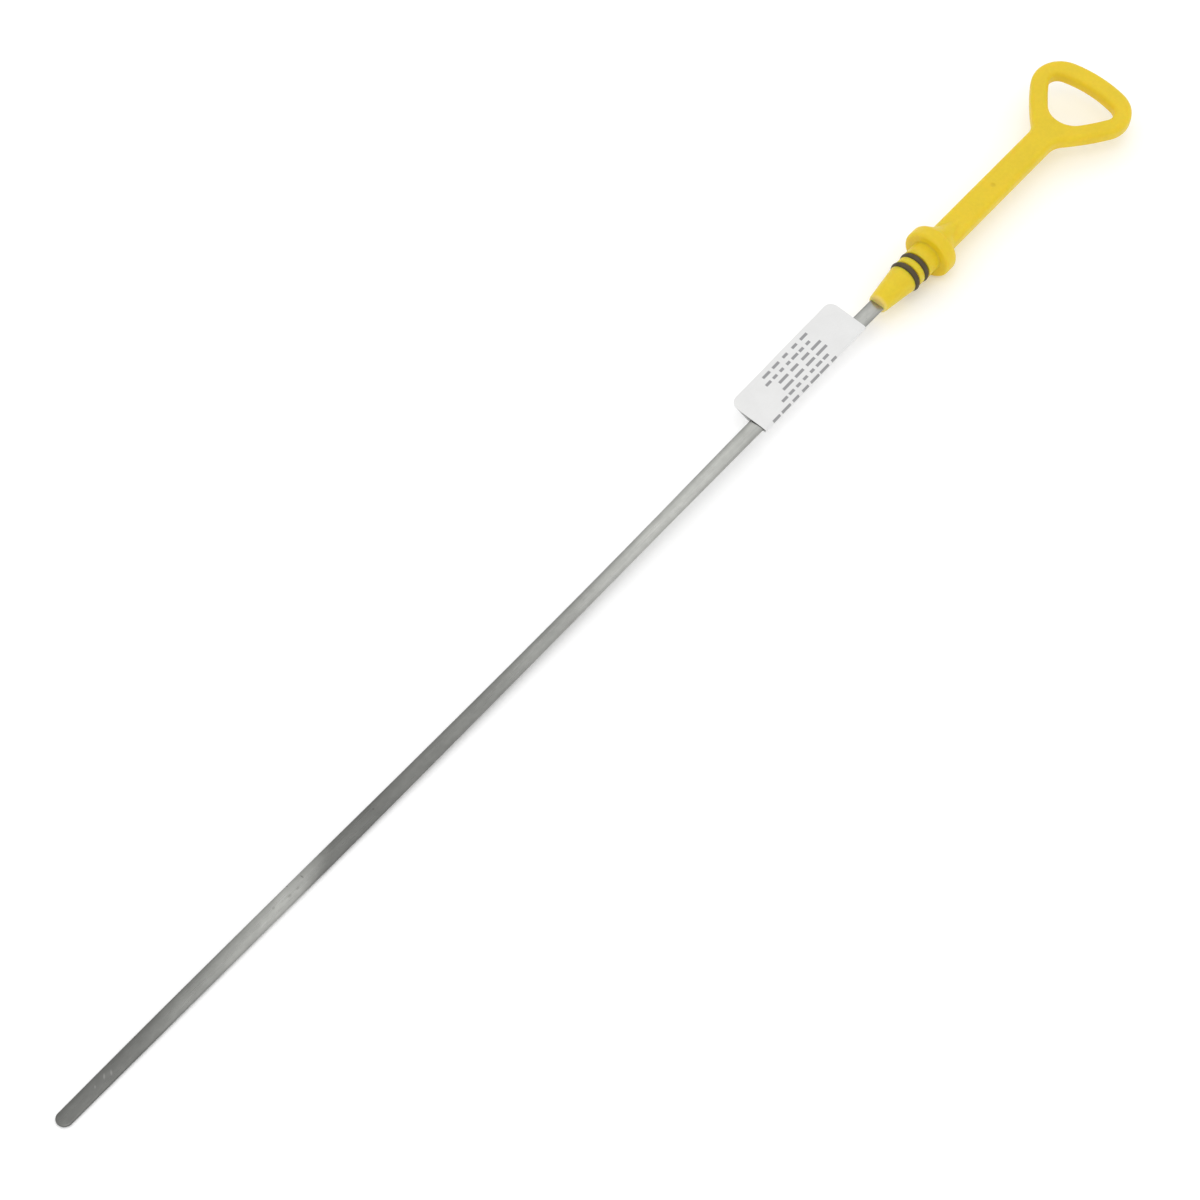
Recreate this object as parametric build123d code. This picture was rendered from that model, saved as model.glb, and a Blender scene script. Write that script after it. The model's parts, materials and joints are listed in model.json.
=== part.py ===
from build123d import *
import math
import os

os.makedirs("parts", exist_ok=True)

# Engine oil dipstick, sizes in millimetres.
# It is drawn along X with the tip at -X and the finger loop at +X.
# X = 0 is the collar face that seats on the mouth of the guide tube.

# blade: flattened spring steel strip, crowned on both faces and round on both edges
blade_width = 5.0
blade_thickness = 1.0
blade_crown = 0.16
blade_edge_depth = 0.38
blade_reach = 384.1
tang_length = 14.0
tang_hole_diameter = 2.2
tang_hole_inset = 5.0

# how the stick comes to rest: turned a little about its length, with its tip flat on the floor
rest_turn = 5.8

# the set the strip has taken between its tip and the tag:
# share of that length from the tip, turn about its length in degrees, share of the drop
blade_drop = 1.8
blade_set = (
    (0.00, -rest_turn, 0.00),
    (0.06, -2.0, 0.02),
    (0.14, 2.0, 0.11),
    (0.24, 4.5, 0.38),
    (0.32, 4.5, 0.63),
    (0.38, 1.5, 0.80),
    (0.44, -4.0, 0.91),
    (0.52, -9.0, 0.99),
    (0.62, -13.0, 1.00),
    (0.74, -15.5, 0.80),
    (0.85, -13.0, 0.45),
    (0.93, -6.0, 0.16),
    (0.98, -0.8, 0.02),
    (1.00, 0.0, 0.00),
)

# plug: tapered nose, two ring grooves and the barrel that fills the tube
plug_length = 25.3
nose_diameter = 6.3
nose_edge = 0.8
taper_diameter = 9.6
land_diameter = 9.9
barrel_diameter = 10.2
groove_diameter = 6.5
groove_clearance = 0.12
upper_ring_place = 6.25
lower_ring_place = 10.95

# rubber rings
ring_diameter = 10.6
ring_section = 2.1

# collar
collar_diameter = 16.5
collar_thickness = 5.2
collar_front_rim = 0.9
collar_back_rim = 1.6
collar_fillet = 1.9

# flat handle: shank and finger loop
handle_thickness = 5.0
handle_edge = 1.6
shank_width = 8.9
handle_reach = 94.1
neck_fillet = 7.0
loop_length = 36.0
loop_angle = 47.6
side_bow = 87.0
far_bow = 42.0
far_bar = 6.4
side_bar = 5.7
loop_corner_share = 0.29
hole_corner_share = 0.17
hole_neck_share = 0.35
gate_place = 34.6
gate_diameter = 1.7
gate_depth = 0.25

# paper tag, folded round the blade with its free edge lifted
tag_place = -59.9
tag_length = 50.5
tag_reach = 10.7
tag_paper = 0.12
tag_glue = 0.02
tag_lift = 5.0
tag_turn = 0.9
tag_play = 0.12
tag_join = 0.65
tag_corner = 3.0
tag_lap = 0.4
tag_hold = 1.0

collar_radius = collar_diameter / 2
straight_from = tag_place - tag_length / 2 + tag_hold


def blade_section(x, turn=0.0, drop=0.0):
    # crowned strip section, square to the length, each quarter of it in short arcs
    half = blade_thickness / 2
    side = half - blade_crown
    edge = blade_width / 2
    flat = edge - blade_edge_depth
    crown_radius = (flat**2 + blade_crown**2) / (2 * blade_crown)
    edge_radius = (side**2 + blade_edge_depth**2) / (2 * blade_edge_depth)
    quarter = []
    for share in (0, 0.25, 0.5, 0.75, 1):
        y = share * flat
        quarter.append((y, half - crown_radius + math.sqrt(crown_radius**2 - y**2)))
    bend = math.asin(side / edge_radius) / 2
    quarter.append((edge - edge_radius * (1 - math.cos(bend)), edge_radius * math.sin(bend)))
    quarter.append((edge, 0))
    around = quarter + [(y, -z) for y, z in reversed(quarter[:-1])]
    around += [(-y, -z) for y, z in quarter[1:]]
    around += [(-y, z) for y, z in reversed(quarter[:-1])]
    outline = [ThreePointArc(*around[n : n + 3]) for n in range(0, len(around) - 1, 2)]
    roll = math.radians(turn)
    across = (0, math.cos(roll), math.sin(roll))
    plane = Plane(origin=(x, 0, -drop), x_dir=across, z_dir=(1, 0, 0))
    return plane * make_face(outline)


def make_blade():
    span = straight_from + blade_reach
    stations = []
    for share, turn, drop in blade_set:
        stations.append(blade_section(share * span - blade_reach, turn, drop * blade_drop))
    strip = loft(stations)
    strip += extrude(blade_section(straight_from), tang_length - straight_from)
    # round tip
    tip_radius = blade_width / 2
    tip_middle = tip_radius - blade_reach
    corner = Pos(-blade_reach, 0, 0) * Box(2 * tip_radius, 2 * blade_width, 4 * blade_thickness)
    strip -= corner - Pos(tip_middle, 0, 0) * Cylinder(tip_radius, 8 * blade_thickness)
    # hole that the plastic fills to hold the tang
    hole = Cylinder(tang_hole_diameter / 2, 4 * blade_thickness)
    strip -= Pos(tang_length - tang_hole_inset, 0, 0) * hole
    return strip


def make_plug():
    # turned profile of nose, grooves, barrel and collar
    half_groove = ring_section / 2 + groove_clearance
    nose = nose_diameter / 2
    floor = groove_diameter / 2
    land = land_diameter / 2
    barrel = barrel_diameter / 2
    lower_start = -lower_ring_place - half_groove
    lower_end = -lower_ring_place + half_groove
    upper_start = -upper_ring_place - half_groove
    upper_end = -upper_ring_place + half_groove
    points = [
        (-plug_length, 0),
        (-plug_length, nose),
        (lower_start, taper_diameter / 2),
        (lower_start, floor),
        (lower_end, floor),
        (lower_end, land),
        (upper_start, land),
        (upper_start, floor),
        (upper_end, floor),
        (upper_end, barrel),
        (0, barrel),
        (0, collar_radius),
        (collar_thickness, collar_radius),
        (collar_thickness, 0),
    ]
    profile = Plane.XZ * make_face(Polyline(*points, close=True))
    back_rim = profile.vertices().sort_by(Axis.Z)[-2:].sort_by(Axis.X)[-1]
    profile = fillet(back_rim, collar_back_rim)
    front_rim = profile.vertices().group_by(Axis.Z)[-1].sort_by(Axis.X)[0]
    profile = fillet(front_rim, collar_front_rim)
    nose_corner = profile.vertices().group_by(Axis.X)[0].sort_by(Axis.Z)[-1]
    profile = fillet(nose_corner, nose_edge)
    return revolve(profile, Axis.X)


def wedge(side_inset=0.0, far_inset=0.0):
    # two bowed sides that spread from the neck, closed by a third across the far end
    angle = math.radians(loop_angle)
    middle = handle_reach - loop_length + side_bow * math.sin(angle)
    spread = side_bow * math.cos(angle)
    side = Circle(side_bow - side_inset)
    far = Pos(handle_reach - far_bow, 0) * Circle(far_bow - far_inset)
    return Pos(middle, spread) * side & Pos(middle, -spread) * side & far


def make_loop():
    # flat shank running into the finger loop, with rounded edges
    outer = wedge()
    outer = fillet(outer.vertices().sort_by(Axis.X)[-2:], loop_corner_share * loop_length)
    shank_start = collar_thickness / 2
    shank_end = handle_reach - loop_length + shank_width
    shank_middle = (shank_start + shank_end) / 2
    outer += Pos(shank_middle, 0) * Rectangle(shank_end - shank_start, shank_width)
    bends = [v for v in outer.vertices() if abs(abs(v.Y) - shank_width / 2) < 1e-4 and v.X > shank_middle]
    outer = fillet(bends, neck_fillet)
    # finger hole, inset by the widths of the bars
    hole = wedge(side_bar, far_bar)
    hole_length = hole.bounding_box().size.X
    hole = fillet(hole.vertices().sort_by(Axis.X)[-2:], hole_corner_share * hole_length)
    hole = fillet(hole.vertices().sort_by(Axis.X)[0], hole_neck_share * hole_length)
    outer -= hole
    body = extrude(outer, handle_thickness / 2, both=True)
    top = body.faces().sort_by(Axis.Z)[-1]
    bottom = body.faces().sort_by(Axis.Z)[0]
    return fillet(top.edges() + bottom.edges(), handle_edge)


def make_handle(blade):
    handle = make_plug() + make_loop()
    root = [
        e
        for e in handle.edges()
        if abs(e.center().X - collar_thickness) < 0.01
        and e.bounding_box().size.X < 0.01
        and e.bounding_box().size.Y < shank_width + 0.1
    ]
    handle = fillet(root, collar_fillet)
    # small moulding gate mark on the flat of the shank
    gate_radius = ((gate_diameter / 2) ** 2 + gate_depth**2) / (2 * gate_depth)
    gate_height = handle_thickness / 2 + gate_radius - gate_depth
    handle -= Pos(gate_place, 0, gate_height) * Sphere(gate_radius)
    return handle - blade


def make_ring(place):
    # round section, flat where it is stretched onto the groove floor
    tube = ring_section / 2
    centre = ring_diameter / 2 - tube
    floor = groove_diameter / 2
    section = Pos(-place, centre) * Circle(tube)
    section -= Pos(-place, floor - ring_section) * Rectangle(2 * ring_section, 2 * ring_section)
    return revolve(Plane.XZ * section, Axis.X)


def make_tag():
    # folded section: tunnel round the blade, closing to a double leaf
    half = blade_thickness / 2 + tag_glue
    room = tag_length / 2 * math.tan(math.radians(tag_turn)) + tag_play
    fold = -(blade_width / 2 + room) + half
    bend = blade_width / 2 + room
    rise = math.tan(math.radians(tag_lift))
    meet = bend + tag_join * (tag_reach - bend)
    join = (meet, half + (meet - fold) * rise)
    tunnel = make_face(
        [
            ThreePointArc((fold, half), (fold - half, 0), (fold, -half)),
            Line((fold, -half), (bend, -half)),
            Line((bend, -half), join),
            Line(join, (fold, half)),
        ]
    )
    wrap = offset(tunnel, tag_paper)
    leaf = (tag_reach - meet) / math.cos(math.radians(tag_lift)) + tag_lap
    flag = Rectangle(leaf, 2 * tag_paper, align=(Align.MAX, Align.MAX))
    tip_height = half + (tag_reach - fold) * rise + tag_paper
    flag = Pos(tag_reach, tip_height) * Rot(0, 0, tag_lift) * flag
    section = wrap + flag - tunnel
    tag = extrude(Plane.YZ * section, tag_length / 2, both=True)
    # round corners at the free edge
    tall = 4 * tag_reach
    for end in (-1, 1):
        corner = Pos(end * tag_length / 2, tag_reach, 0) * Box(2 * tag_corner, 2 * tag_corner, tall)
        middle = Pos(end * (tag_length / 2 - tag_corner), tag_reach - tag_corner, 0)
        tag -= corner - middle * Cylinder(tag_corner, 2 * tall)
    return Pos(tag_place, 0, 0) * Rot(0, 0, tag_turn) * tag


blade = make_blade()
pieces = {
    "handle": make_handle(blade),
    "blade": blade,
    "upper_o_ring": make_ring(upper_ring_place),
    "lower_o_ring": make_ring(lower_ring_place),
    "paper_tag": make_tag(),
}

# it lies on the collar's rim and the blade's tip, so the whole stick leans a little
lean = math.degrees(math.atan2(collar_radius - blade_thickness / 2, blade_reach + collar_thickness / 2))
rest = Rot(0, -lean, 0) * Rot(rest_turn, 0, 0)
laid = {name: rest * piece for name, piece in pieces.items()}
box = Compound(children=[piece.solid() for piece in laid.values()]).bounding_box()
shift = Pos(-box.center().X, -box.center().Y, -box.min.Z)
for name, piece in laid.items():
    export_step(shift * piece.solid(), "parts/" + name + ".step")
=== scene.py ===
import bmesh
import bpy
import json
import math
from mathutils import Euler, Matrix, Vector


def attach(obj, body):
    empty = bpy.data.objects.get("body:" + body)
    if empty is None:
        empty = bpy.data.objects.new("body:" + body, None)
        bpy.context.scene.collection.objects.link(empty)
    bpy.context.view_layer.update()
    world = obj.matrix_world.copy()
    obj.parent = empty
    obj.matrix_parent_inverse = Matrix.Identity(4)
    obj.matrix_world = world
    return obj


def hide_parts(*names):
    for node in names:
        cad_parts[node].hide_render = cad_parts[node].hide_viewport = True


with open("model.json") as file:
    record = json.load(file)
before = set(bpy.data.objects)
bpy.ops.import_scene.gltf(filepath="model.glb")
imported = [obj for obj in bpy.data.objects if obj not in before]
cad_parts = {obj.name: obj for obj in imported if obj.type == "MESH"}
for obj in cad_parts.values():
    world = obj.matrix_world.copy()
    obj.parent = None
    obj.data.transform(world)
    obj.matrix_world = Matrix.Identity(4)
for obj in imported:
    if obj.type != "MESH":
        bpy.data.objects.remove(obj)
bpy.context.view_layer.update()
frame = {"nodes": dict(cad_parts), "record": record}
print("frame loaded:", sorted(frame["nodes"]))

# the stick's own axes in millimetres: x = 0 on the collar's seat, +x toward the finger loop
millimetre = 0.001
stickRoll = 5.8  # degrees it lies turned about its length
barrelMount = next(m for m in frame["record"]["mounts"] if m["name"] == "plug_barrel")
alongStick = -Vector(barrelMount["axis"])
halfBarrel = barrelMount["dims"]["length_mm"] / 2 * millimetre
seatCentre = Vector(barrelMount["pos_m"]) + alongStick * halfBarrel
stickTurn = Euler((math.radians(stickRoll), -math.asin(alongStick.z), 0))
stickToRow = Matrix.Translation(seatCentre) @ stickTurn.to_matrix().to_4x4() @ Matrix.Scale(millimetre, 4)


# small helpers for node trees
def feed(tree, socket, value):
    if isinstance(value, bpy.types.NodeSocket):
        tree.links.new(value, socket)
    else:
        socket.default_value = value


def addNode(tree, kind, inputs=None, **settings):
    node = tree.nodes.new("ShaderNode" + kind)
    for name, value in settings.items():
        setattr(node, name, value)
    for name, value in (inputs or {}).items():
        feed(tree, node.inputs[name], value)
    return node


def calc(tree, operation, *values):
    node = addNode(tree, "Math", operation=operation)
    for socket, value in zip(node.inputs, values):
        feed(tree, socket, value)
    return node.outputs[0]


def fade(tree, value, low, high, atLow=0.0, atHigh=1.0):
    span = {"Value": value, "From Min": low, "From Max": high, "To Min": atLow, "To Max": atHigh}
    return addNode(tree, "MapRange", span, interpolation_type="SMOOTHSTEP").outputs["Result"]


def blendColours(tree, factor, first, second, blend="MIX"):
    node = addNode(tree, "Mix", data_type="RGBA", blend_type=blend)
    feed(tree, node.inputs[0], factor)
    feed(tree, node.inputs[6], first)
    feed(tree, node.inputs[7], second)
    return node.outputs[2]


def noise(tree, vector, scale, detail=3.0, roughness=0.55):
    inputs = {"Vector": vector, "Scale": scale, "Detail": detail, "Roughness": roughness}
    return addNode(tree, "TexNoise", inputs).outputs["Fac"]


def splitAxes(tree, vector):
    node = addNode(tree, "SeparateXYZ", {"Vector": vector})
    return node.outputs["X"], node.outputs["Y"], node.outputs["Z"]


def stretch(tree, vector, x, y, z):
    return addNode(tree, "Mapping", {"Vector": vector, "Scale": (x, y, z)}).outputs["Vector"]


def stickCoordinates(tree):
    spot = addNode(tree, "TexCoord").outputs["Object"]
    place = {"Vector": spot, "Location": seatCentre, "Rotation": stickTurn, "Scale": (millimetre,) * 3}
    return addNode(tree, "Mapping", place, vector_type="TEXTURE").outputs["Vector"]


def distanceTo(tree, vector, point):
    node = addNode(tree, "VectorMath", operation="DISTANCE")
    feed(tree, node.inputs[0], vector)
    feed(tree, node.inputs[1], point)
    return node.outputs["Value"]


def startMaterial(name, **shaderValues):
    material = bpy.data.materials.new(name)
    material.use_nodes = True
    shader = material.node_tree.nodes["Principled BSDF"]
    for socket, value in shaderValues.items():
        shader.inputs[socket.replace("_", " ")].default_value = value
    return material, material.node_tree, shader


def startGroup(name, inputs, outputs):
    group = bpy.data.node_groups.new(name, "ShaderNodeTree")
    for label, kind in inputs.items():
        group.interface.new_socket(label, in_out="INPUT", socket_type="NodeSocket" + kind)
    for label, kind in outputs.items():
        group.interface.new_socket(label, in_out="OUTPUT", socket_type="NodeSocket" + kind)
    start = group.nodes.new("NodeGroupInput")
    end = group.nodes.new("NodeGroupOutput")
    return group, start.outputs, end.inputs


def placeGroup(tree, group, inputs):
    node = tree.nodes.new("ShaderNodeGroup")
    node.node_tree = group
    for name, value in inputs.items():
        feed(tree, node.inputs[name], value)
    return node.outputs


def addBump(tree, shader, height, strength, distance, softEdge=None):
    bump = addNode(tree, "Bump", {"Height": height, "Strength": strength, "Distance": distance})
    if softEdge is not None:
        rounded = addNode(tree, "Bevel", {"Radius": softEdge}, samples=6)
        tree.links.new(rounded.outputs["Normal"], bump.inputs["Normal"])
    tree.links.new(bump.outputs["Normal"], shader.inputs["Normal"])


# effects that several finishes share
def makeMottle():
    inputs = {"Color": "Color", "Vector": "Vector", "Scale": "Float", "Amount": "Float"}
    group, given, result = startGroup("mottle", inputs, {"Color": "Color"})
    patches = noise(group, given["Vector"], given["Scale"], detail=4.0)
    darkest = calc(group, "SUBTRACT", 1.0, given["Amount"])
    lightest = calc(group, "ADD", 1.0, given["Amount"])
    tone = fade(group, patches, 0.3, 0.7, darkest, lightest)
    tint = addNode(group, "HueSaturation", {"Color": given["Color"], "Value": tone})
    group.links.new(tint.outputs["Color"], result["Color"])
    return group


def makeSpecks():
    inputs = {"Vector": "Vector", "Scale": "Float", "Size": "Float", "Cover": "Float"}
    group, given, result = startGroup("specks", inputs, {"Mask": "Float"})
    cells = addNode(group, "TexVoronoi", {"Vector": given["Vector"], "Scale": given["Scale"]})
    dot = calc(group, "LESS_THAN", cells.outputs["Distance"], given["Size"])
    pick = splitAxes(group, cells.outputs["Color"])[0]
    chosen = calc(group, "LESS_THAN", pick, given["Cover"])
    group.links.new(calc(group, "MULTIPLY", dot, chosen), result["Mask"])
    return group


def makeGrain():
    inputs = {"Vector": "Vector", "Scale": "Float", "Coarse": "Float"}
    group, given, result = startGroup("grain", inputs, {"Height": "Float"})
    fine = noise(group, given["Vector"], given["Scale"], detail=5.0)
    broadScale = calc(group, "MULTIPLY", given["Scale"], 0.12)
    broad = noise(group, given["Vector"], broadScale, detail=2.0)
    weighted = calc(group, "MULTIPLY", broad, given["Coarse"])
    group.links.new(calc(group, "ADD", fine, weighted), result["Height"])
    return group


mottle = makeMottle()
specks = makeSpecks()
grain = makeGrain()
print("shared effects ready")


# small helpers for meshes, which are modelled in millimetres along the stick
sliver = 0.002  # shorter edges are closed up where two skins cross


def linkMesh(bm, name):
    mesh = bpy.data.meshes.new(name)
    bm.to_mesh(mesh)
    bm.free()
    thing = bpy.data.objects.new(name, mesh)
    bpy.context.scene.collection.objects.link(thing)
    return thing


def combine(bm, tool, operation):
    # a closed shape joined with another that overlaps it, or cut by it
    body, other = linkMesh(bm, "body"), linkMesh(tool, "other")
    step = body.modifiers.new("combine", "BOOLEAN")
    step.operation, step.solver, step.object = operation, "EXACT", other
    graph = bpy.context.evaluated_depsgraph_get()
    combined = bpy.data.meshes.new_from_object(body.evaluated_get(graph))
    result = bmesh.new()
    result.from_mesh(combined)
    for mesh in (body.data, other.data, combined):
        bpy.data.meshes.remove(mesh)  # the two helper objects go with their meshes
    bmesh.ops.triangulate(result, faces=[f for f in result.faces if len(f.verts) > 4])
    bmesh.ops.dissolve_degenerate(result, edges=result.edges, dist=sliver)
    return result


def shadeSmooth(bm, sharpFrom):
    # smooth all over, apart from edges that turn by more than so many degrees
    for face in bm.faces:
        face.smooth = True
    for edge in bm.edges:
        edge.smooth = edge.calc_face_angle(0.0) < math.radians(sharpFrom)


def placePiece(bm, name, node, material):
    bmesh.ops.transform(bm, matrix=stickToRow, verts=bm.verts)
    piece = linkMesh(bm, name)
    piece.data.materials.append(material)
    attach(piece, "root")
    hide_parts(node)
    print(name, "made with", len(piece.data.polygons), "faces")
    return piece


# blade: flattened steel strip, crowned, round at the edges and the tip, with the set it has taken
bladeLook = {
    "width": 5.0,
    "thickness": 1.0,
    "crown": 0.16,
    "edgeRound": 0.46,
    "edgeSegments": 8,
    "faceCuts": 9,
    "reach": 384.1,
    "tang": 14.0,
    "tangHole": 2.2,
    "tangHolePlace": 9.0,
    "tangHoleSegments": 48,
    "straightFrom": -84.15,
    "drop": 1.8,
    # share of the way from the tip to the straight stretch, turn in degrees, share of the drop
    "set": [
        (0.00, -5.8, 0.00), (0.06, -2.0, 0.02), (0.14, 2.0, 0.11), (0.24, 4.5, 0.38), (0.32, 4.5, 0.63),
        (0.38, 1.5, 0.80), (0.44, -4.0, 0.91), (0.52, -9.0, 0.99), (0.62, -13.0, 1.00), (0.74, -15.5, 0.80),
        (0.85, -13.0, 0.45), (0.93, -6.0, 0.16), (0.98, -0.8, 0.02), (1.00, 0.0, 0.00),
    ],
    "tipSteps": 32,
    "lengthCuts": 240,
    "mergeWithin": 0.001,
    "sharpFrom": 40,  # degrees
    # painted reflection: place along the stick, and the tone painted there for the light and dark that the
    # steel reflects
    "reflectionTones": [
        (-384.0, 0.175), (-352.0, 0.18), (-320.0, 0.31), (-298.0, 0.43), (-288.0, 0.37), (-277.0, 0.185),
        (-262.0, 0.18), (-215.0, 0.245), (-170.0, 0.385), (-138.0, 0.51), (-95.0, 0.47), (-25.0, 0.42),
    ],
    "reflectionLean": 2.0,
    "hue": (1.0, 1.01, 0.955),
    # painted shade: how much of the painted tone is left at the strip's two shoulders, which are painted
    # darker still toward the handle
    "leftShoulderShade": {"low": 0.4, "high": 2.4, "atLow": 1.0, "atHigh": 0.78},
    "rightShoulderShade": {"low": -2.4, "high": -0.9, "atLow": 0.88, "atHigh": 1.0},
    "shoulderShadeDeepening": {"low": -215.0, "high": -165.0, "atLow": 1.0, "atHigh": 1.4},
    "rollStretch": (0.02, 3.0, 3.0),
    "rollLine": (0.2, 0.2, 0.2, 1),
    "rollFade": {"low": 0.35, "high": 0.65, "atLow": 0.0, "atHigh": 0.12},
    "clouds": {"Scale": 0.06, "Amount": 0.05},
    "blotches": {"Scale": 0.7, "Amount": 0.05},
    "blotchStretch": (0.5, 1.0, 1.0),
    "pits": {"Scale": 0.5, "Size": 0.14, "Cover": 0.05},
    "pitStain": 0.4,
    "pitDepth": 0.5,
    "dirt": (0.05, 0.045, 0.04, 1),
    # painted sheen: light grey for small painted highlights on the steel
    "sheenHighlight": (0.60, 0.60, 0.58, 1),
    # marks on the upper face, dirt and painted sheen highlights: place, turn in degrees, half sizes, colour
    # and strength
    "marks": [
        {"place": (-287.0, 1.1, -0.6), "turn": 90, "size": (0.9, 0.3, 0.6), "kind": "dirt", "amount": 0.55},
        {"place": (-293.6, -0.3, -0.5), "turn": 0, "size": (1.0, 0.6, 0.6), "kind": "dirt", "amount": 0.25},
        {"place": (-290.4, -0.4, -0.6), "turn": 0, "size": (1.0, 0.5, 0.6), "kind": "dirt", "amount": 0.25},
        {"place": (-299.4, 0.4, -0.4), "turn": 10, "size": (0.8, 0.5, 0.6), "kind": "dirt", "amount": 0.25},
        {"place": (-366.2, 0.4, 0.4), "turn": 45, "size": (1.2, 0.4, 0.6), "kind": "sheenHighlight", "amount": 0.2},
        {"place": (-364.2, -0.3, 0.4), "turn": 50, "size": (1.2, 0.4, 0.6), "kind": "sheenHighlight", "amount": 0.2},
        {"place": (-370.0, 0.1, 0.4), "turn": 45, "size": (0.7, 0.3, 0.6), "kind": "sheenHighlight", "amount": 0.2},
        {"place": (-305.0, -0.9, -0.4), "turn": 4, "size": (2.2, 0.4, 0.6), "kind": "sheenHighlight", "amount": 0.2},
    ],
    "roughStretch": (0.05, 1.2, 1.2),
    "roughness": (0.26, 0.36),
    "bump": {"strength": 0.05, "distance": 0.00002},
}


def easeThrough(stations, column, share):
    # smooth curve through one column of the set
    last = len(stations) - 1
    i = max(n for n in range(last) if stations[n][0] <= share or n == 0)

    def slope(n):
        before, after = stations[max(n - 1, 0)], stations[min(n + 1, last)]
        return (after[column] - before[column]) / (after[0] - before[0])

    a, b = stations[i], stations[i + 1]
    gap = b[0] - a[0]
    t = min((share - a[0]) / gap, 1.0)
    ease = t * t * (3 - 2 * t)
    start = slope(i) * gap * t * (1 - t) ** 2
    end = slope(i + 1) * gap * t * t * (t - 1)
    return a[column] * (1 - ease) + b[column] * ease + start + end


def crownedHalf(bm, look, x):
    # half of the strip's section, from the middle out to its round edge
    half, side = look["thickness"] / 2, look["width"] / 2
    bmesh.ops.create_grid(bm, x_segments=1, y_segments=1, size=0.5)
    for v in bm.verts:
        v.co = (x, (v.co.x + 0.5) * side, v.co.y * look["thickness"])
    outer = [v for v in bm.verts if v.co.y > side / 2]
    bmesh.ops.bevel(
        bm, geom=outer, offset=look["edgeRound"], offset_type="OFFSET", segments=look["edgeSegments"],
        profile=0.5, affect="VERTICES", material=-1,
    )
    bmesh.ops.delete(bm, geom=bm.faces[:], context="FACES_ONLY")
    middle = [e for e in bm.edges if all(v.co.y < 1e-6 for v in e.verts)]
    bmesh.ops.delete(bm, geom=middle, context="EDGES_FACES")
    flats = [e for e in bm.edges if e.calc_length() > side / 2]
    bmesh.ops.subdivide_edges(bm, edges=flats, cuts=look["faceCuts"])
    for v in bm.verts:
        v.co.z *= 1 - look["crown"] / half * (v.co.y / side) ** 2


def bendToSet(bm, look):
    span = look["straightFrom"] + look["reach"]
    for v in bm.verts:
        share = min(max((v.co.x + look["reach"]) / span, 0.0), 1.0)
        turn = math.radians(easeThrough(look["set"], 1, share))
        drop = look["drop"] * easeThrough(look["set"], 2, share)
        y, z = v.co.y, v.co.z
        v.co.y = y * math.cos(turn) - z * math.sin(turn)
        v.co.z = y * math.sin(turn) + z * math.cos(turn) - drop


def makeTangHole(look):
    # where the plastic runs through the tang and holds it
    bm = bmesh.new()
    radius, depth = look["tangHole"] / 2, look["thickness"] * 4
    segments = look["tangHoleSegments"]
    bmesh.ops.create_cone(bm, cap_ends=True, segments=segments, radius1=radius, radius2=radius, depth=depth)
    bmesh.ops.translate(bm, verts=bm.verts, vec=(look["tangHolePlace"], 0, 0))
    return bm


def makeBlade(look, material):
    bm = bmesh.new()
    tipMiddle = look["width"] / 2 - look["reach"]
    crownedHalf(bm, look, tipMiddle)
    bmesh.ops.spin(
        bm, geom=bm.verts[:] + bm.edges[:], cent=(tipMiddle, 0, 0), axis=(0, 0, 1), dvec=(0, 0, 0),
        angle=math.pi, steps=look["tipSteps"], use_merge=False,
    )
    bmesh.ops.remove_doubles(bm, verts=bm.verts, dist=look["mergeWithin"])
    section = [e for e in bm.edges if e.is_boundary]
    strip = bmesh.ops.extrude_edge_only(bm, edges=section)["geom"]
    ends = [v for v in strip if isinstance(v, bmesh.types.BMVert)]
    bmesh.ops.translate(bm, verts=ends, vec=(look["tang"] - tipMiddle, 0, 0))
    runs = [e for e in bm.edges if e.calc_length() > look["reach"] / 2]
    bmesh.ops.subdivide_edges(bm, edges=runs, cuts=look["lengthCuts"], use_grid_fill=True)
    bmesh.ops.holes_fill(bm, edges=[e for e in bm.edges if e.is_boundary])
    bmesh.ops.recalc_face_normals(bm, faces=bm.faces)
    bendToSet(bm, look)
    bm = combine(bm, makeTangHole(look), "DIFFERENCE")
    shadeSmooth(bm, look["sharpFrom"])
    placePiece(bm, "bladeStrip", "blade", material)


def placeMark(tree, under, spot, mark, colour):
    # one soft oval mark, fading out toward its half sizes
    turn = (0, 0, math.radians(mark["turn"]))
    place = {"Vector": spot, "Location": mark["place"], "Rotation": turn, "Scale": mark["size"]}
    inMark = addNode(tree, "Mapping", place, vector_type="TEXTURE").outputs["Vector"]
    away = distanceTo(tree, inMark, (0, 0, 0))
    return blendColours(tree, fade(tree, away, 0.2, 1.0, mark["amount"], 0.0), under, colour)


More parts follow.
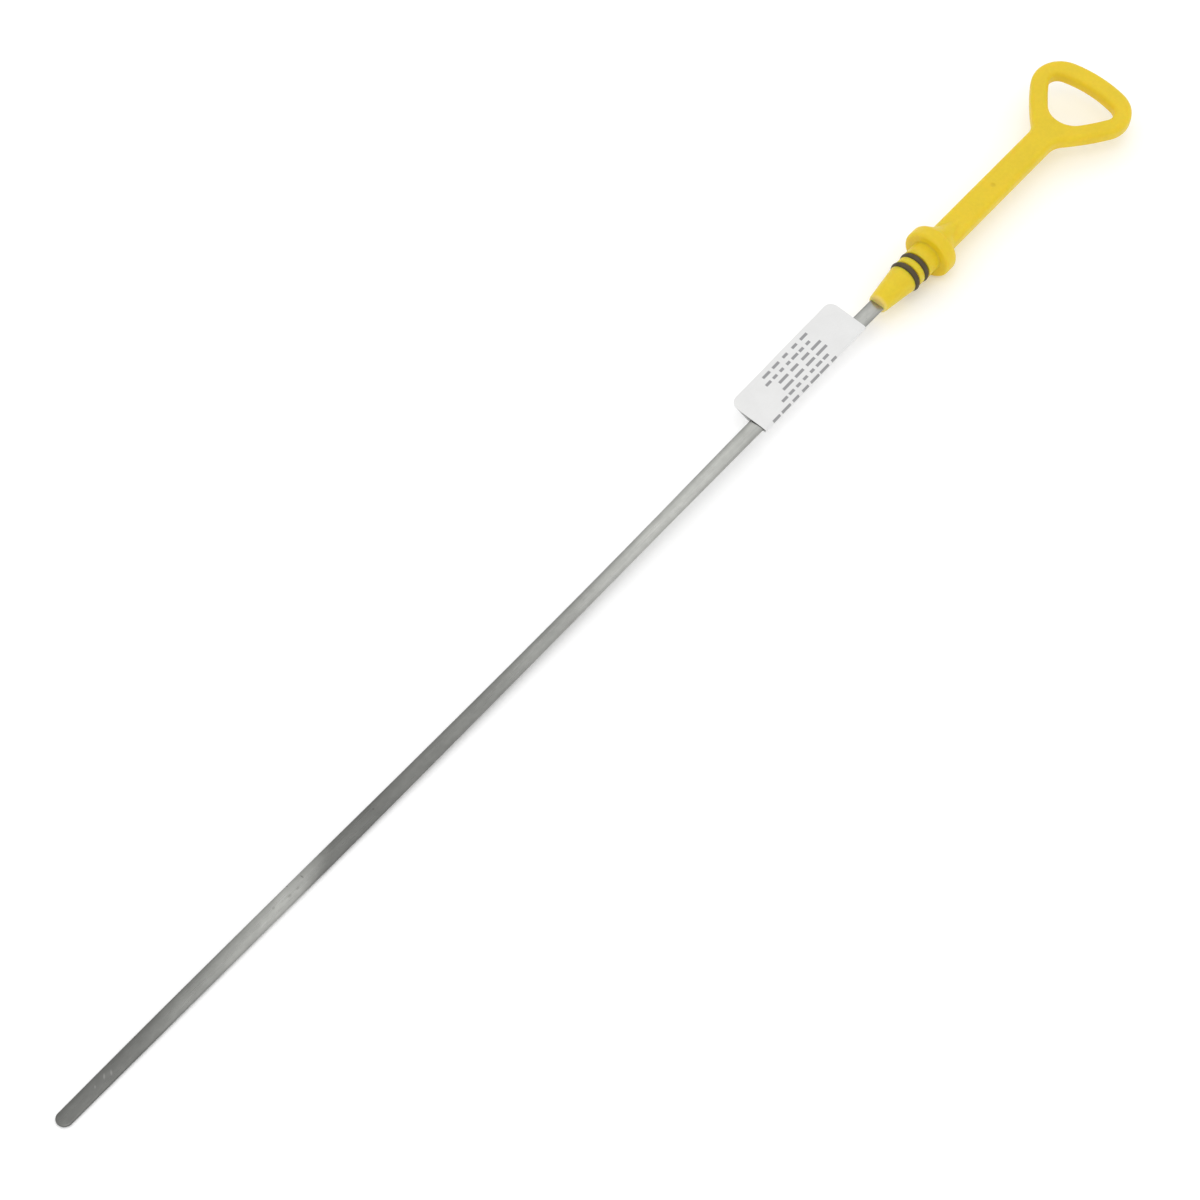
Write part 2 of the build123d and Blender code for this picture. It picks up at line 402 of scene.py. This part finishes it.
def rolledSteel(look):
    material, tree, shader = startMaterial("rolledSteel", Metallic=1.0)
    spot = stickCoordinates(tree)
    along, across, _ = splitAxes(tree, spot)
    first, last = look["reflectionTones"][0][0], look["reflectionTones"][-1][0]
    # painted reflection: the tones along the stick, leaning a little across it, stand in for the light and
    # dark the steel reflects
    leaning = calc(tree, "SUBTRACT", along, calc(tree, "MULTIPLY", across, look["reflectionLean"]))
    place = addNode(tree, "MapRange", {"Value": leaning, "From Min": first, "From Max": last})
    reflectionRamp = addNode(tree, "ValToRGB", {"Fac": place.outputs["Result"]})
    stops = reflectionRamp.color_ramp.elements
    stops.remove(stops[1])
    for x, tone in look["reflectionTones"]:
        stop = stops[0] if x == first else stops.new((x - first) / (last - first))
        stop.color = (*(tone * share for share in look["hue"]), 1)
    # painted shade: both shoulders darkened, more so toward the handle
    leftPaintedShade = fade(tree, across, **look["leftShoulderShade"])
    rightPaintedShade = fade(tree, across, **look["rightShoulderShade"])
    shadeDeepen = fade(tree, along, **look["shoulderShadeDeepening"])
    paintedShoulderShade = calc(tree, "POWER", calc(tree, "MULTIPLY", leftPaintedShade, rightPaintedShade), shadeDeepen)
    paintedReflectionAndShade = blendColours(tree, 1.0, reflectionRamp.outputs["Color"], paintedShoulderShade, "MULTIPLY")
    lines = noise(tree, stretch(tree, spot, *look["rollStretch"]), 1.0, detail=6.0)
    streaked = blendColours(tree, fade(tree, lines, **look["rollFade"]), paintedReflectionAndShade, look["rollLine"])
    clouded = placeGroup(tree, mottle, {"Color": streaked, "Vector": spot, **look["clouds"]})["Color"]
    longer = stretch(tree, spot, *look["blotchStretch"])
    blotched = placeGroup(tree, mottle, {"Color": clouded, "Vector": longer, **look["blotches"]})["Color"]
    pits = placeGroup(tree, specks, {"Vector": spot, **look["pits"]})["Mask"]
    worn = blendColours(tree, calc(tree, "MULTIPLY", pits, look["pitStain"]), blotched, look["dirt"])
    # dark dirt marks, and light marks that are painted sheen highlights
    for mark in look["marks"]:
        worn = placeMark(tree, worn, spot, mark, look[mark["kind"]])
    tree.links.new(worn, shader.inputs["Base Color"])
    rough = noise(tree, stretch(tree, spot, *look["roughStretch"]), 1.0, detail=4.0)
    tree.links.new(fade(tree, rough, 0.3, 0.7, *look["roughness"]), shader.inputs["Roughness"])
    height = calc(tree, "SUBTRACT", lines, calc(tree, "MULTIPLY", pits, look["pitDepth"]))
    addBump(tree, shader, height, **look["bump"])
    return material


makeBlade(bladeLook, rolledSteel(bladeLook))


# paper tag: one label folded round the blade and stuck to itself, its free edge lifted a little
tagLook = {
    "place": -59.9,
    "length": 50.5,
    "reach": 10.7,
    "paper": 0.12,
    "foldLine": -2.497,
    "foldRadius": 0.58,
    "bendLine": 3.017,
    "joinLine": 8.0,
    "lift": 5.0,
    "turn": 0.9,
    "corner": 3.0,
    "cornerSegments": 10,
    "leafGap": 1.05,  # paper thicknesses from the middle of one leaf to the other's
    "climbEase": 0.35,
    "wave": 0.10,
    "ripples": [(1.0, 0.21, 0.8), (0.5, 0.53, 2.0)],  # share of the wave, its rate and where it starts
    "foldSteps": 14,
    "firstLeafCut": 1.4,
    "leafCuts": 12,
    "lengthSteps": 20,
    "sharpFrom": 40,  # degrees
    "sheet": (0.76, 0.76, 0.755, 1),
    "clouds": {"Scale": 0.12, "Amount": 0.02},
    "pulp": {"Scale": 1.5, "Coarse": 0.6},
    "pulpStretch": (3.0, 6.0, 6.0),
    "fleck": (0.58, 0.57, 0.55, 1),
    "fleckFade": {"low": 0.55, "high": 1.1, "atLow": 0.0, "atHigh": 0.10},
    "roughness": (0.5, 0.62),
    "bump": {"strength": 0.15, "distance": 0.00004},
    "ink": (0.29, 0.29, 0.295, 1),
    "rows": 6,
    "rowPitch": 2.32,
    "lowestRow": 0.55,
    "rowsEnd": 11.1,
    "rowsStart": (-13.7, -9.3),  # each row starts somewhere between these two
    "longRowFurther": -10.3,  # and the lowest row this much before that
    "barPitch": (3.3, 5.72),  # each row has a pitch between these two
    "halfBar": (0.26, 0.46),  # shortest and longest, as shares of the pitch
    "halfHeight": 0.22,  # as a share of the rows' pitch
    "barEnd": 0.03,  # how softly the bars end, as shares of the pitches
    "barSide": 0.04,
}
uvSpan = 100.0  # millimetres of flat paper to one unit of the tag's UV map


def foldPoint(look, v):
    # where a point of the flat sheet, v millimetres from the fold's crest, lies across the blade
    radius, fold = look["foldRadius"], look["foldLine"]
    halfTurn = math.pi * radius / 2
    rise = math.tan(math.radians(look["lift"]))
    if abs(v) <= halfTurn:
        return fold - radius * math.cos(v / radius), radius * math.sin(v / radius)
    y = fold + abs(v) - halfTurn
    upper = radius + (y - fold) * rise
    if v > 0:
        return y, upper
    joined = upper - look["paper"] * look["leafGap"]
    climb = min(max((y - look["bendLine"]) / (look["joinLine"] - look["bendLine"]), 0.0), 1.0)
    eased = climb + (climb * climb * (3 - 2 * climb) - climb) * look["climbEase"]
    return y, -radius * (1 - eased) + joined * eased


def makeTag(look, material):
    bm = bmesh.new()
    flatHalf = look["reach"] - look["foldLine"] + math.pi * look["foldRadius"] / 2
    bmesh.ops.create_grid(bm, x_segments=1, y_segments=1, size=1.0)
    bmesh.ops.scale(bm, vec=(look["length"] / 2, flatHalf, 1), verts=bm.verts)
    bmesh.ops.bevel(
        bm, geom=bm.verts[:], offset=look["corner"], offset_type="OFFSET", segments=look["cornerSegments"],
        profile=0.5, affect="VERTICES", material=-1,
    )
    # cuts along the fold and across the leaves, so that the sheet can bend
    foldSteps, lengthSteps = look["foldSteps"], look["lengthSteps"]
    foldCuts = [math.pi * look["foldRadius"] * (n / foldSteps - 0.5) for n in range(foldSteps + 1)]
    leafCuts = [side * (look["firstLeafCut"] + n) for side in (-1, 1) for n in range(look["leafCuts"])]
    for v in foldCuts + leafCuts:
        sheet = bm.verts[:] + bm.edges[:] + bm.faces[:]
        bmesh.ops.bisect_plane(bm, geom=sheet, plane_co=(0, v, 0), plane_no=(0, 1, 0))
    for n in range(1, lengthSteps):
        x = (n / lengthSteps - 0.5) * look["length"]
        sheet = bm.verts[:] + bm.edges[:] + bm.faces[:]
        bmesh.ops.bisect_plane(bm, geom=sheet, plane_co=(x, 0, 0), plane_no=(1, 0, 0))
    flatPaper = bm.loops.layers.uv.new("flatPaper")
    for face in bm.faces:
        for loop in face.loops:
            loop[flatPaper].uv = (loop.vert.co.x / uvSpan + 0.5, loop.vert.co.y / uvSpan + 0.5)
    for v in bm.verts:
        x, y = v.co.x, v.co.y
        v.co.y, v.co.z = foldPoint(look, y)
        outward = max(v.co.y - look["bendLine"], 0.0) / (look["reach"] - look["bendLine"])
        ripple = sum(share * math.sin(x * rate + start) for share, rate, start in look["ripples"])
        v.co.z += look["wave"] * outward**2 * ripple
    bmesh.ops.recalc_face_normals(bm, faces=bm.faces)
    for v in bm.verts:
        v.normal_update()
    normals = {v: v.normal.copy() for v in bm.verts}
    for v in bm.verts:
        v.co += normals[v] * look["paper"] / 2
    bmesh.ops.solidify(bm, geom=bm.faces[:], thickness=look["paper"])
    shadeSmooth(bm, look["sharpFrom"])
    turn = Matrix.Translation((look["place"], 0, 0)) @ Matrix.Rotation(math.radians(look["turn"]), 4, "Z")
    bmesh.ops.transform(bm, matrix=turn, verts=bm.verts)
    placePiece(bm, "foldedLabel", "paper_tag", material)


def barMask(tree, look):
    # rows of plain bars where such a label carries small print
    flat = addNode(tree, "UVMap", uv_map="flatPaper").outputs["UV"]
    u, v, _ = splitAxes(tree, flat)
    x = calc(tree, "MULTIPLY", calc(tree, "SUBTRACT", u, 0.5), uvSpan)
    y = calc(tree, "MULTIPLY", calc(tree, "SUBTRACT", v, 0.5), uvSpan)
    row = calc(tree, "DIVIDE", calc(tree, "SUBTRACT", y, look["lowestRow"]), look["rowPitch"])
    rowNumber = calc(tree, "ROUND", row)
    offRow = calc(tree, "ABSOLUTE", calc(tree, "SUBTRACT", row, rowNumber))
    rowChance = addNode(tree, "TexWhiteNoise", {"W": rowNumber}, noise_dimensions="1D").outputs["Value"]
    pitch = fade(tree, rowChance, 0.0, 1.0, *look["barPitch"])
    bar = calc(tree, "ADD", calc(tree, "DIVIDE", x, pitch), rowChance)
    barNumber = calc(tree, "FLOOR", bar)
    barMiddle = calc(tree, "ADD", barNumber, 0.5)
    offBar = calc(tree, "ABSOLUTE", calc(tree, "SUBTRACT", bar, barMiddle))
    cell = addNode(tree, "CombineXYZ", {"X": barNumber, "Y": rowNumber}).outputs["Vector"]
    chance = addNode(tree, "TexWhiteNoise", {"Vector": cell}, noise_dimensions="2D").outputs["Value"]
    halfBar = fade(tree, chance, 0.0, 1.0, *look["halfBar"])
    alongBar = fade(tree, offBar, calc(tree, "SUBTRACT", halfBar, look["barEnd"]), halfBar, 1.0, 0.0)
    acrossBar = fade(tree, offRow, look["halfHeight"] - look["barSide"], look["halfHeight"], 1.0, 0.0)
    mask = calc(tree, "MULTIPLY", alongBar, acrossBar)
    shortStart = fade(tree, rowChance, 0.0, 1.0, *look["rowsStart"])
    isLong = calc(tree, "LESS_THAN", rowNumber, 0.5)  # the lowest row
    further = calc(tree, "MULTIPLY", isLong, look["longRowFurther"])
    start = calc(tree, "ADD", shortStart, further)
    middle = calc(tree, "MULTIPLY", calc(tree, "SUBTRACT", barMiddle, rowChance), pitch)
    mask = calc(tree, "MULTIPLY", mask, calc(tree, "GREATER_THAN", middle, start))
    mask = calc(tree, "MULTIPLY", mask, calc(tree, "LESS_THAN", middle, look["rowsEnd"]))
    mask = calc(tree, "MULTIPLY", mask, calc(tree, "GREATER_THAN", row, -0.5))
    return calc(tree, "MULTIPLY", mask, calc(tree, "LESS_THAN", row, look["rows"] - 0.5))


def labelPaper(look):
    material, tree, shader = startMaterial("labelPaper")
    spot = stickCoordinates(tree)
    sheet = placeGroup(tree, mottle, {"Color": look["sheet"], "Vector": spot, **look["clouds"]})["Color"]
    longer = stretch(tree, spot, *look["pulpStretch"])
    fibres = placeGroup(tree, grain, {"Vector": longer, **look["pulp"]})["Height"]
    flecked = blendColours(tree, fade(tree, fibres, **look["fleckFade"]), sheet, look["fleck"])
    inked = blendColours(tree, barMask(tree, look), flecked, look["ink"])
    tree.links.new(inked, shader.inputs["Base Color"])
    tree.links.new(fade(tree, fibres, 0.4, 1.2, *look["roughness"]), shader.inputs["Roughness"])
    addBump(tree, shader, fibres, **look["bump"])
    return material


makeTag(tagLook, labelPaper(tagLook))


# handle: one yellow moulding, whose collar flares softly into the shank
handleLook = {
    "shankHalf": (4.45, 2.5),
    "shankEdge": 1.6,
    "backRimMiddle": (3.6, 6.65),  # along the stick, then out from its middle line
    "backRimRound": 1.6,
    "flareRoot": 3.2,
    "flareInside": 0.85,  # share of the shank's own reach
    "flareSlopes": (1.4, 0.8),  # at the shank's sides, and at its two faces
    "flareSink": 0.006,  # how far it starts over the rim's skin and ends under the shank's
    "flareRings": 24,
    "flareSegments": 192,
    "mergeWithin": 0.0005,
    "sharpFrom": 30,  # degrees
    "yellow": (0.74, 0.55, 0.012, 1),
    "clouds": {"Scale": 0.10, "Amount": 0.025},
    "flow": {"Scale": 0.9, "Amount": 0.02},
    "noseShade": (0.75, 0.58, 0.30, 1),
    "noseFade": {"low": -25.3, "high": -23.9, "atLow": 0.45, "atHigh": 0.0},
    "gate": (34.6, 0.0, 2.4),
    "gateTone": (0.60, 0.42, 0.010, 1),
    "gateFade": {"low": 0.5, "high": 1.2, "atLow": 0.45, "atHigh": 0.0},
    "grime": (0.30, 0.20, 0.02, 1),
    "dust": {"Scale": 0.45, "Size": 0.08, "Cover": 0.05},
    "dustAmount": 0.3,
    "partingLine": 0.07,
    # how far edges are softened, in metres: not at the nose, where the blade's slot stays sharp
    "softEdge": {"low": -24.3, "high": -21.3, "atLow": 0.0, "atHigh": 0.0013},
    "roughScale": 0.35,
    "roughness": (0.37, 0.50),
    "skin": {"Scale": 5.0, "Coarse": 1.5},
    "bump": {"strength": 0.12, "distance": 0.00006},
}


def mouldedYellow(look):
    material, tree, shader = startMaterial(
        "mouldedYellow", Specular_IOR_Level=0.38, Subsurface_Weight=0.45,
        Subsurface_Radius=(1.0, 0.4, 0.05), Subsurface_Scale=0.004,
    )
    spot = stickCoordinates(tree)
    along, _, up = splitAxes(tree, spot)
    broad = placeGroup(tree, mottle, {"Color": look["yellow"], "Vector": spot, **look["clouds"]})["Color"]
    fine = placeGroup(tree, mottle, {"Color": broad, "Vector": spot, **look["flow"]})["Color"]
    shaded = blendColours(tree, fade(tree, along, **look["noseFade"]), fine, look["noseShade"])
    gateMask = fade(tree, distanceTo(tree, spot, look["gate"]), **look["gateFade"])
    gated = blendColours(tree, gateMask, shaded, look["gateTone"])
    dust = placeGroup(tree, specks, {"Vector": spot, **look["dust"]})["Mask"]
    specked = blendColours(tree, calc(tree, "MULTIPLY", dust, look["dustAmount"]), gated, look["grime"])
    tree.links.new(specked, shader.inputs["Base Color"])
    rough = noise(tree, spot, look["roughScale"], detail=4.0)
    tree.links.new(fade(tree, rough, 0.3, 0.7, *look["roughness"]), shader.inputs["Roughness"])
    skin = placeGroup(tree, grain, {"Vector": spot, **look["skin"]})["Height"]
    seam = fade(tree, calc(tree, "ABSOLUTE", up), 0.0, look["partingLine"], 1.0, 0.0)
    softEdge = fade(tree, along, **look["softEdge"])
    addBump(tree, shader, calc(tree, "ADD", skin, seam), **look["bump"], softEdge=softEdge)
    return material


def shankReach(look, angle):
    # how far the shank's skin lies from the stick's middle line, at an angle round it
    way = Vector((abs(math.cos(angle)), abs(math.sin(angle))))
    halfWidth, halfHeight = look["shankHalf"]
    corner = Vector((halfWidth, halfHeight)) - Vector((1, 1)) * look["shankEdge"]
    if way.y * corner.x >= way.x * halfHeight:
        return halfHeight / way.y
    if way.x * corner.y >= way.y * halfWidth:
        return halfWidth / way.x
    middle = way.dot(corner)
    return middle + math.sqrt(middle**2 - corner.length_squared + look["shankEdge"] ** 2)


def curvePoint(first, bend, last, t):
    # a point on the curve that leaves the first point toward the bend and comes from it to the last
    return Vector(first) * (1 - t) ** 2 + Vector(bend) * 2 * t * (1 - t) + Vector(last) * t * t


def flarePoint(look, angle, t):
    atSides, atFaces = look["flareSlopes"]
    slope = atSides + (atFaces - atSides) * math.sin(angle) ** 2
    tilt = math.atan(slope)
    out = look["backRimRound"] + look["flareSink"]
    start = Vector(look["backRimMiddle"]) + out * Vector((math.sin(tilt), math.cos(tilt)))
    endOut = shankReach(look, angle) - look["flareSink"]
    run = (start.y - endOut) / slope
    bend = (start.x + run, endOut)
    return curvePoint(start, bend, (bend[0] + run, endOut), t)


def makeFlare(look):
    # a sleeve that leaves the collar's back rim and comes down on the shank, its inside sunk in both
    bm = bmesh.new()
    rings, segments = look["flareRings"], look["flareSegments"]
    bmesh.ops.create_cone(bm, cap_ends=False, segments=segments, radius1=1, radius2=1, depth=1)
    sides = [e for e in bm.edges if not e.is_boundary]
    bmesh.ops.subdivide_edges(bm, edges=sides, cuts=rings + 1, use_grid_fill=True)
    for v in bm.verts:
        angle = math.atan2(v.co.y, v.co.x)
        ring = round((v.co.z + 0.5) * (rings + 2))
        x, out = flarePoint(look, angle, min(max(ring - 1, 0), rings) / rings)
        if ring in (0, rings + 2):
            out = shankReach(look, angle) * look["flareInside"]
        if ring == 0:
            x = look["flareRoot"]
        v.co = (x, out * math.cos(angle), out * math.sin(angle))
    bmesh.ops.bridge_loops(bm, edges=[e for e in bm.edges if e.is_boundary])
    bmesh.ops.recalc_face_normals(bm, faces=bm.faces)
    return bm


def makeHandle(look, material):
    plain = frame["nodes"]["handle"].data.copy()
    if plain.has_custom_normals:
        plain.attributes.remove(plain.attributes["custom_normal"])
    bm = bmesh.new()
    bm.from_mesh(plain)
    bpy.data.meshes.remove(plain)
    bmesh.ops.transform(bm, matrix=stickToRow.inverted(), verts=bm.verts)
    bmesh.ops.remove_doubles(bm, verts=bm.verts, dist=look["mergeWithin"])
    bm = combine(bm, makeFlare(look), "UNION")
    shadeSmooth(bm, look["sharpFrom"])
    piece = placePiece(bm, "mouldedHandle", "handle", material)
    piece.modifiers.new("evenNormals", "WEIGHTED_NORMAL").keep_sharp = True


makeHandle(handleLook, mouldedYellow(handleLook))


# rubber rings
ringLook = {
    "rubber": (0.075, 0.058, 0.028, 1),
    "clouds": {"Scale": 0.5, "Amount": 0.12},
    "bloom": (0.12, 0.10, 0.06, 1),
    "bloomFade": {"low": 0.5, "high": 0.75, "atLow": 0.0, "atHigh": 0.35},
    "filmScale": 1.1,
    "roughness": (0.52, 0.68),
    "skin": {"Scale": 6.0, "Coarse": 1.0},
    "bump": {"strength": 0.2, "distance": 0.00005},
}


def sealRubber(look):
    material, tree, shader = startMaterial("sealRubber", Specular_IOR_Level=0.3)
    spot = stickCoordinates(tree)
    base = placeGroup(tree, mottle, {"Color": look["rubber"], "Vector": spot, **look["clouds"]})["Color"]
    film = noise(tree, spot, look["filmScale"], detail=4.0)
    bloomed = blendColours(tree, fade(tree, film, **look["bloomFade"]), base, look["bloom"])
    tree.links.new(bloomed, shader.inputs["Base Color"])
    tree.links.new(fade(tree, film, 0.3, 0.7, *look["roughness"]), shader.inputs["Roughness"])
    skin = placeGroup(tree, grain, {"Vector": spot, **look["skin"]})["Height"]
    addBump(tree, shader, skin, **look["bump"])
    return material


def dress(node, material):
    slots = frame["nodes"][node].data.materials
    slots.clear()
    slots.append(material)


rubber = sealRubber(ringLook)
for ring in ("upper_o_ring", "lower_o_ring"):
    dress(ring, rubber)
print("rings dressed")


# studio: pale floor under a dome that is brightest overhead, a softbox and a panel beyond the handle
studioLook = {
    "floor": (0.93, 0.93, 0.93, 1),
    "floorHalf": 3.0,
    "floorRoughness": 0.9,
    "floorGlow": 0.12,  # a lit white table
    "horizon": 0.78,
    "zenith": 1.0,
    "zenithFrom": 0.85,  # height of a unit direction from which the dome is at its brightest
    "softboxes": [
        {"name": "overheadSoftbox", "place": (-0.3, -0.3, 1.3), "size": (0.9, 0.9), "watts": 2.6},
        {"name": "farPanel", "place": (1.0, 0.7, 1.2), "size": (0.66, 1.3), "watts": 0.9},
    ],
}


def makeFloor(look):
    bm = bmesh.new()
    bmesh.ops.create_grid(bm, x_segments=1, y_segments=1, size=look["floorHalf"])
    floor = linkMesh(bm, "paleFloor")
    material, _, _ = startMaterial(
        "paleFloor", Base_Color=look["floor"], Roughness=look["floorRoughness"],
        Emission_Color=(1, 1, 1, 1), Emission_Strength=look["floorGlow"],
    )
    floor.data.materials.append(material)


def lightStudio(look):
    world = bpy.data.worlds.new("studio")
    bpy.context.scene.world = world
    world.use_nodes = True
    tree = world.node_tree
    way = addNode(tree, "TexCoord").outputs["Generated"]
    height = splitAxes(tree, way)[2]
    strength = fade(tree, height, 0.0, look["zenithFrom"], look["horizon"], look["zenith"])
    background = tree.nodes["Background"]
    background.inputs["Color"].default_value = (1, 1, 1, 1)
    tree.links.new(strength, background.inputs["Strength"])
    for box in look["softboxes"]:
        light = bpy.data.lights.new(box["name"], "AREA")
        light.shape = "RECTANGLE"
        light.size, light.size_y = box["size"]
        light.energy = box["watts"]
        lamp = bpy.data.objects.new(box["name"], light)
        lamp.location = box["place"]
        bpy.context.scene.collection.objects.link(lamp)


makeFloor(studioLook)
lightStudio(studioLook)
print("studio lit")

# camera at the photograph's viewing angle
cameraLook = {
    "azimuth": -51.02,
    "elevation": 52.93,
    "distance": 1.1,
    "target": (-0.01607, -0.00161, 0.0),
    "focalPixels": 3812,
    "imagePixels": 1200,
    "sensor": 36.0,
}


def placeCamera(look):
    camera = bpy.data.cameras.new("photoCamera")
    camera.sensor_width = look["sensor"]
    camera.lens = look["focalPixels"] / look["imagePixels"] * look["sensor"]
    azimuth, elevation = math.radians(look["azimuth"]), math.radians(look["elevation"])
    level = math.cos(elevation)
    back = Vector((math.sin(azimuth) * level, -math.cos(azimuth) * level, math.sin(elevation)))
    stand = bpy.data.objects.new("photoCamera", camera)
    stand.location = Vector(look["target"]) + back * look["distance"]
    stand.rotation_euler = (-back).to_track_quat("-Z", "Y").to_euler()
    bpy.context.scene.collection.objects.link(stand)
    bpy.context.scene.camera = stand


placeCamera(cameraLook)
bpy.context.scene.view_settings.view_transform = "Standard"
print("camera placed")
